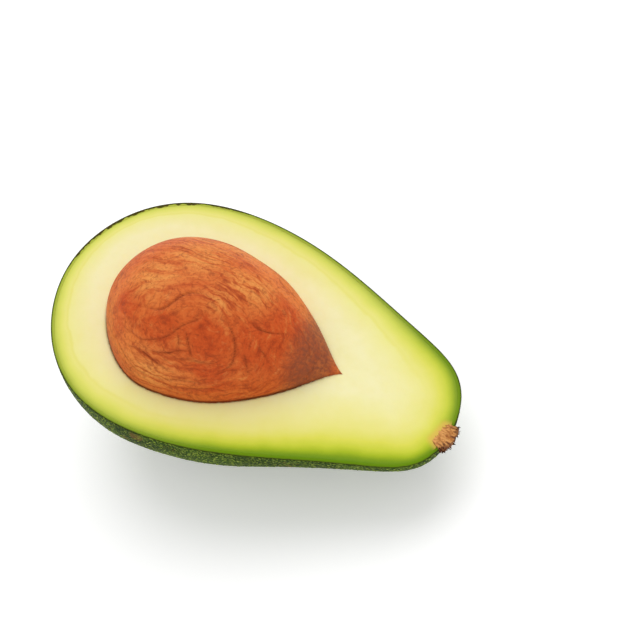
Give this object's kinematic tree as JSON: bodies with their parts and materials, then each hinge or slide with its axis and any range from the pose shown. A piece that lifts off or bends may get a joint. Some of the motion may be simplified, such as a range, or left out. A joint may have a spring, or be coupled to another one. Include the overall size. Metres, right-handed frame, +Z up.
{
  "type": "avocado half",
  "caption": "Avocado half cut lengthwise, with thin leathery skin, pale flesh, whole stone in its hollow and a stub of stem; lies on a small flat spot.",
  "frame": {"origin": "middle of the small flat spot underneath that the half rests on", "axes": "+Z up from the surface it lies on, +X level along the fruit towards its stem end, +Y across the cut face"},
  "size_m": [0.1072, 0.0673, 0.0514],
  "materials": {
    "skin": "satin, dark green and finely pebbled with pale specks",
    "flesh": "moist satin, cream in the middle and green next to the skin",
    "seed": "satin, mottled orange brown with fine dark wrinkles",
    "stem_stub": "matt, fibrous cut wood with dark bark"
  },
  "bodies": {
    "root": {"skin": "skin", "flesh": "flesh", "seed": "seed", "stem_stub": "stem_stub"}
  },
  "joints": []
}
